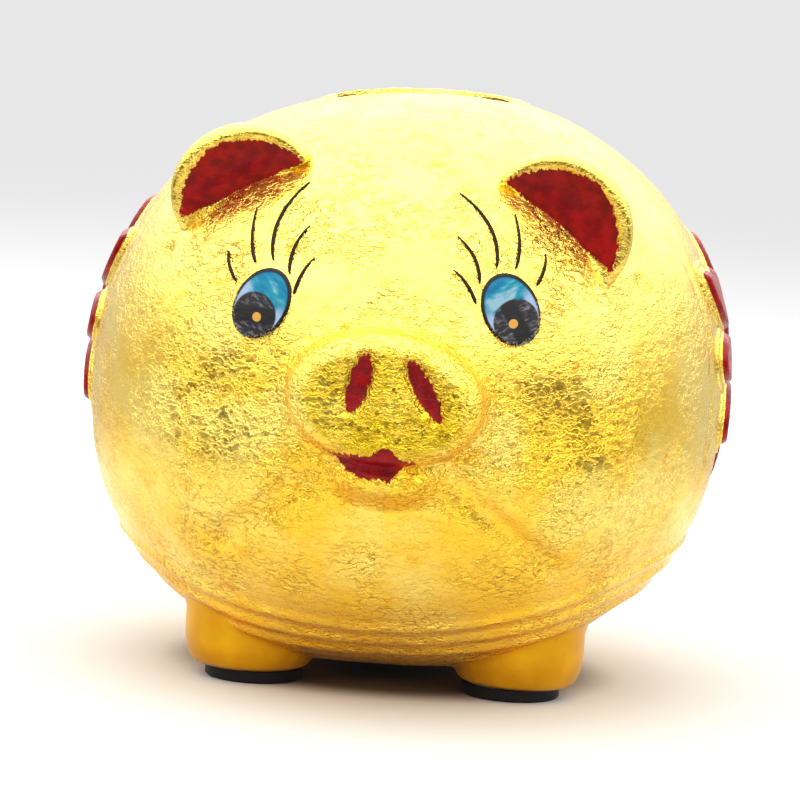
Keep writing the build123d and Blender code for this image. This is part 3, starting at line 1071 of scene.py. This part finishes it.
def eye_print():
    """The printed eye: black rim, blue iris, dark pupil with grey glints, and an orange spark."""
    recipe = Recipe("eye_print")
    picture = recipe.attribute("picture", "Vector")
    across, up, right_eye = recipe.split(picture)

    def reach(centre_x, centre_y, radius_x, radius_y):
        """1 on the edge of an oval of the picture, less inside it."""
        dx = recipe.calc("DIVIDE", recipe.minus(across, centre_x), radius_x)
        dy = recipe.calc("DIVIDE", recipe.minus(up, centre_y), radius_y)
        return recipe.calc("SQRT", recipe.plus(recipe.times(dx, dx), recipe.times(dy, dy)))

    def disc(*oval):
        """1 inside an oval of the picture, 0 outside, with a fine soft edge."""
        return recipe.ramp(reach(*oval), 1.03, 0.97)

    colour = recipe.mix(disc(PUPIL_X, PUPIL_Y, PUPIL_RADIUS, PUPIL_RADIUS),
                        eye_iris(recipe, picture, across, up),
                        eye_pupil(recipe, picture, across, up, right_eye))
    colour = recipe.mix(disc(0.9, -2.95, 1.0, 1.0), colour, rgb(0.85, 0.44, 0.08))
    colour = recipe.mix(disc(0.0, -0.35, *INNER_EYE), EYE_BLACK, colour)
    # The rim's lower edge has flaked here and there
    wear_and_painted_shade = recipe.times(recipe.ramp(reach(0.0, 0.0, EYE_HALF_WIDTH, EYE_HALF_HEIGHT), 0.86, 0.98),
                        recipe.ramp(recipe.noise(2.2, 2.0), 0.52, 0.60))
    colour = recipe.mix(recipe.times(wear_and_painted_shade, recipe.ramp(up, 0.0, -3.0)), colour, rgb(0.55, 0.42, 0.22))
    wrinkle = recipe.noise(1.0, 3.0, at=recipe.scaled(recipe.place, (0.62, 0.62, 1.0)))
    return recipe.finish(Base_Color=colour, Roughness=0.42, Specular_IOR_Level=0.22,
                         Normal=recipe.bump(wrinkle, 0.2, 0.7))


def lash_ink():
    """Dark printing ink."""
    recipe = Recipe("lash_ink")
    cloud = recipe.noise(1.0, 3.0)
    colour = recipe.mix(cloud, rgb(0.006, 0.003, 0.001), rgb(0.03, 0.014, 0.004))
    return recipe.finish(Base_Color=colour, Roughness=0.5, Specular_IOR_Level=0.15)


def dress(piece, *materials):
    """The piece's materials, in slot order."""
    piece.data.materials.clear()
    for material in materials:
        piece.data.materials.append(material)


# -------- assembly
def stand_in(piece, node, slot, *materials):
    """A finished piece: dressed, riding on its body, and standing in for its CAD node."""
    indices = [polygon.material_index for polygon in piece.data.polygons]
    dress(piece, *materials)
    piece.data.polygons.foreach_set("material_index", indices)
    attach(piece, "bank")
    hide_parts(node)


def build_bank():
    """Every visible piece of the money box."""
    leaf, lustre = gold_leaf(), amber_lustre()
    ear_enamel = painted_gold("ear_enamel", ragged_edge=2.6, gloss=0.42, calm=0.2, wild=0.4)
    snout_enamel = painted_gold("snout_enamel", ragged_edge=3.2, gloss=0.35, calm=0.7, wild=1.0)
    flower_enamel = painted_gold("flower_enamel", ragged_edge=0.5, gloss=0.22, calm=0.5, wild=1.0)
    stand_in(body_shell(), "body_shell", "gold_leaf", leaf)
    stand_in(snout(), "snout", "gold_leaf", snout_enamel)
    stand_in(tail(), "tail", "gold_leaf", leaf)
    films = (eye_print(), lash_ink())
    for side, word in ((-1, "left"), (1, "right")):
        stand_in(ear(word, f"{word}_cupped_ear"), f"{word}_ear", "gold_leaf", ear_enamel)
        stand_in(eye(word, f"{word}_printed_eye"), f"{word}_eye_decal", "eye_film", *films)
        relief = flower(side, f"{word}_raised_flower")
        stand_in(relief, f"{word}_flank_flower", "red_enamel", flower_enamel)
        for end, end_word in ((-1, "front"), (1, "rear")):
            stub = leg(side, end, f"{end_word}_{word}_stub_leg")
            stand_in(stub, f"{end_word}_{word}_leg", "amber_lustre", lustre)


def dress_frame():
    """Materials for the CAD nodes that stay as they are."""
    foot, plug, film = black_rubber("foot_rubber", 0.6), black_rubber("stopper_rubber", 0.9), adhesive()
    for name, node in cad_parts.items():
        if name.endswith("foot_pad"):
            dress(node, foot)
        elif name.endswith("pad_adhesive"):
            dress(node, film)
        elif name == "rubber_stopper":
            dress(node, plug)


# -------- stage, light and camera
def stage_floor():
    """Wide paper, clear from below. The camera sees it fade from a lit pool to grey, while the
    pig mirrors a room that is dark in front."""
    half_width = 20000.0
    corners = half_width * np.array([(-1.0, -1.0, 0.0), (1.0, -1.0, 0.0), (1.0, 1.0, 0.0), (-1.0, 1.0, 0.0)])
    floor = make_piece("stage_floor", corners, [(0, 1, 2, 3)])
    recipe = Recipe("stage_paper")
    away = recipe.length(recipe.place)
    paper = recipe.mix(recipe.noise(0.004, 2.0), rgb(0.80, 0.80, 0.80), rgb(0.84, 0.84, 0.84))
    seen = recipe.fade(away, 250.0, 1200.0, paper, rgb(0.525, 0.525, 0.525))
    # Painted shadow: the floor is darker in an oval under the belly
    oval = recipe.length(recipe.scaled(recipe.place, (1 / 56, 1 / 47, 0.0)))
    seen = recipe.fade(oval, 1.0, 0.65, seen, rgb(0.05, 0.03, 0.01), 0.9)
    y = recipe.split(recipe.place)[1]
    room = recipe.fade(y, 120.0, -110.0, rgb(0.42, 0.42, 0.40), rgb(0.05, 0.045, 0.04))
    mirrored = recipe.fade(away, 140.0, 360.0, paper, room)
    direct = recipe.output("ShaderNodeLightPath", "Is Camera Ray")
    recipe.finish(Base_Color=recipe.mix(direct, mirrored, seen), Roughness=0.8, Specular_IOR_Level=0.1)
    from_below = recipe.output("ShaderNodeNewGeometry", "Backfacing")
    clear = recipe.output("ShaderNodeBsdfTransparent", 0)
    surface = recipe.join("ShaderNodeMixShader", (from_below, recipe.surface.outputs[0], clear))
    recipe.feed(recipe.tree.nodes["Material Output"].inputs["Surface"], surface)
    dress(floor, recipe.material)


def studio_surroundings():
    """A white studio: bright above and behind, darker where the camera stands. Matt surfaces are
    lit from above only, and the camera sees a plain light wall."""
    world = bpy.data.worlds.new("studio")
    bpy.context.scene.world = world
    world.use_nodes = True
    room = Nodes(world.node_tree)
    _, back, rise = room.split(room.output("ShaderNodeTexCoord", "Generated"))
    walls = room.ramp(back, -0.85, 0.1, 0.06, 0.85)
    overhead = room.ramp(rise, -0.02, 0.40, 0.0, 2.6)
    mirrored = room.calc("MAXIMUM", walls, overhead)
    scattered = room.calc("MAXIMUM", 0.05, room.ramp(rise, 0.15, 0.7, 0.0, 1.5))
    around = room.between(room.output("ShaderNodeLightPath", "Is Diffuse Ray"), mirrored, scattered)
    wall = room.ramp(rise, 0.0, 0.3, 0.80, 0.74)
    strength = room.between(room.output("ShaderNodeLightPath", "Is Camera Ray"), around, wall)
    background = world.node_tree.nodes["Background"]
    room.feed(background.inputs["Color"], rgb(1.0, 1.0, 1.0))
    room.feed(background.inputs["Strength"], strength)


def overhead_softbox():
    """A large square softbox high above the pig, facing straight down."""
    light = bpy.data.lights.new("overhead_softbox", "AREA")
    light.size = 0.9
    light.energy = 3.1
    add_object("overhead_softbox", light).location = (-0.2, 0.1, 1.0)


def photo_camera():
    """A long-lens camera just above the pig's eye line, slightly towards +X and rolled."""
    distance = 1.2
    height_angle, side_angle, roll = (math.radians(degrees) for degrees in (7.5, 3.2, 3.6))
    # Aimed a little beside and below the body's middle, as the photo is framed
    aim = Vector((-0.0013, 0.0, CENTRE[2] * MM - 0.0065))
    level = math.cos(height_angle)
    back = Vector((math.sin(side_angle) * level, -math.cos(side_angle) * level, math.sin(height_angle)))
    data = bpy.data.cameras.new("photo_camera")
    data.lens = 232.0
    data.sensor_width = 36.0
    camera = add_object("photo_camera", data)
    camera.location = aim + back * distance
    facing = (-back).to_track_quat("-Z", "Y").to_matrix()
    camera.rotation_euler = (facing @ Matrix.Rotation(roll, 3, "Z")).to_euler()
    bpy.context.scene.camera = camera


def studio():
    """Floor, lights, surroundings and camera."""
    stage_floor()
    studio_surroundings()
    overhead_softbox()
    bpy.context.scene.view_settings.view_transform = "Standard"
    photo_camera()


build_bank()
dress_frame()
studio()
